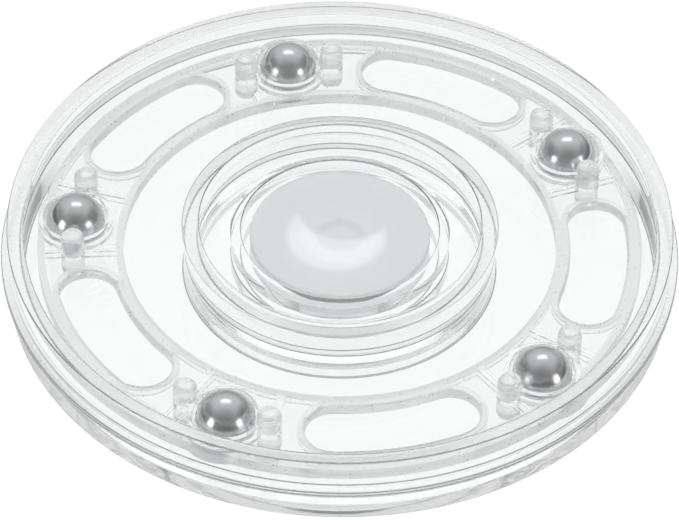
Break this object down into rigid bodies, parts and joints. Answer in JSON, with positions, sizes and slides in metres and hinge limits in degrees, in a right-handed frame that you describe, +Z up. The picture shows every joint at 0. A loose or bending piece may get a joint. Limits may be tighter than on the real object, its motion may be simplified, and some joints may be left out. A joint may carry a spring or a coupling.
{
  "type": "lazy susan turntable",
  "caption": "Flat round turntable: two clear moulded shells turn face to face on steel balls held in a slotted clear cage, with a frosted rivet in the recessed hub.",
  "frame": {"origin": "centre of the lower face that the turntable stands on", "axes": "+Z up along the spin axis; +X to the right and +Y away from the usual viewing side"},
  "size_m": [0.1, 0.1, 0.0112],
  "materials": {
    "clear_plastic": "clear, polished as moulded",
    "clear_cage": "clear, moulded, with duller post ends",
    "frosted_plastic": "translucent, frosted",
    "polished_steel": "polished bearing steel"
  },
  "bodies": {
    "base": {"bottom_plate": "clear_plastic", "pivot_post": "frosted_plastic", "pivot_cap": "frosted_plastic"},
    "top": {"top_plate": "clear_plastic"},
    "cage": {"ball_cage": "clear_cage"},
    "ball_1": {"ball_1": "polished_steel"},
    "ball_2": {"ball_2": "polished_steel"},
    "ball_3": {"ball_3": "polished_steel"},
    "ball_4": {"ball_4": "polished_steel"},
    "ball_5": {"ball_5": "polished_steel"}
  },
  "joints": [
    {"name": "top_spin", "type": "hinge", "parent": "base", "child": "top", "pos_m": [0, 0, 0.0056], "axis": [0, 0, 1], "continuous": true},
    {"name": "cage_spin", "type": "hinge", "parent": "base", "child": "cage", "pos_m": [0, 0, 0.0056], "axis": [0, 0, 1], "continuous": true},
    {"name": "ball_1_spin", "type": "hinge", "parent": "cage", "child": "ball_1", "pos_m": [0.03402, 0.01988, 0.0056], "axis": [0.8634, 0.5045, 0], "continuous": true},
    {"name": "ball_2_spin", "type": "hinge", "parent": "cage", "child": "ball_2", "pos_m": [-0.00839, 0.0385, 0.0056], "axis": [-0.213, 0.977, 0], "continuous": true},
    {"name": "ball_3_spin", "type": "hinge", "parent": "cage", "child": "ball_3", "pos_m": [-0.03921, 0.00391, 0.0056], "axis": [-0.9951, 0.0993, 0], "continuous": true},
    {"name": "ball_4_spin", "type": "hinge", "parent": "cage", "child": "ball_4", "pos_m": [-0.01584, -0.03608, 0.0056], "axis": [-0.4019, -0.9157, 0], "continuous": true},
    {"name": "ball_5_spin", "type": "hinge", "parent": "cage", "child": "ball_5", "pos_m": [0.02942, -0.02621, 0.0056], "axis": [0.7466, -0.6652, 0], "continuous": true}
  ],
  "couplings": [
    {"joint": "cage_spin", "follows": "top_spin", "ratio": 0.5},
    {"joint": "ball_1_spin", "follows": "top_spin", "ratio": -4.5127},
    {"joint": "ball_2_spin", "follows": "top_spin", "ratio": -4.5127},
    {"joint": "ball_3_spin", "follows": "top_spin", "ratio": -4.5127},
    {"joint": "ball_4_spin", "follows": "top_spin", "ratio": -4.5127},
    {"joint": "ball_5_spin", "follows": "top_spin", "ratio": -4.5127}
  ]
}
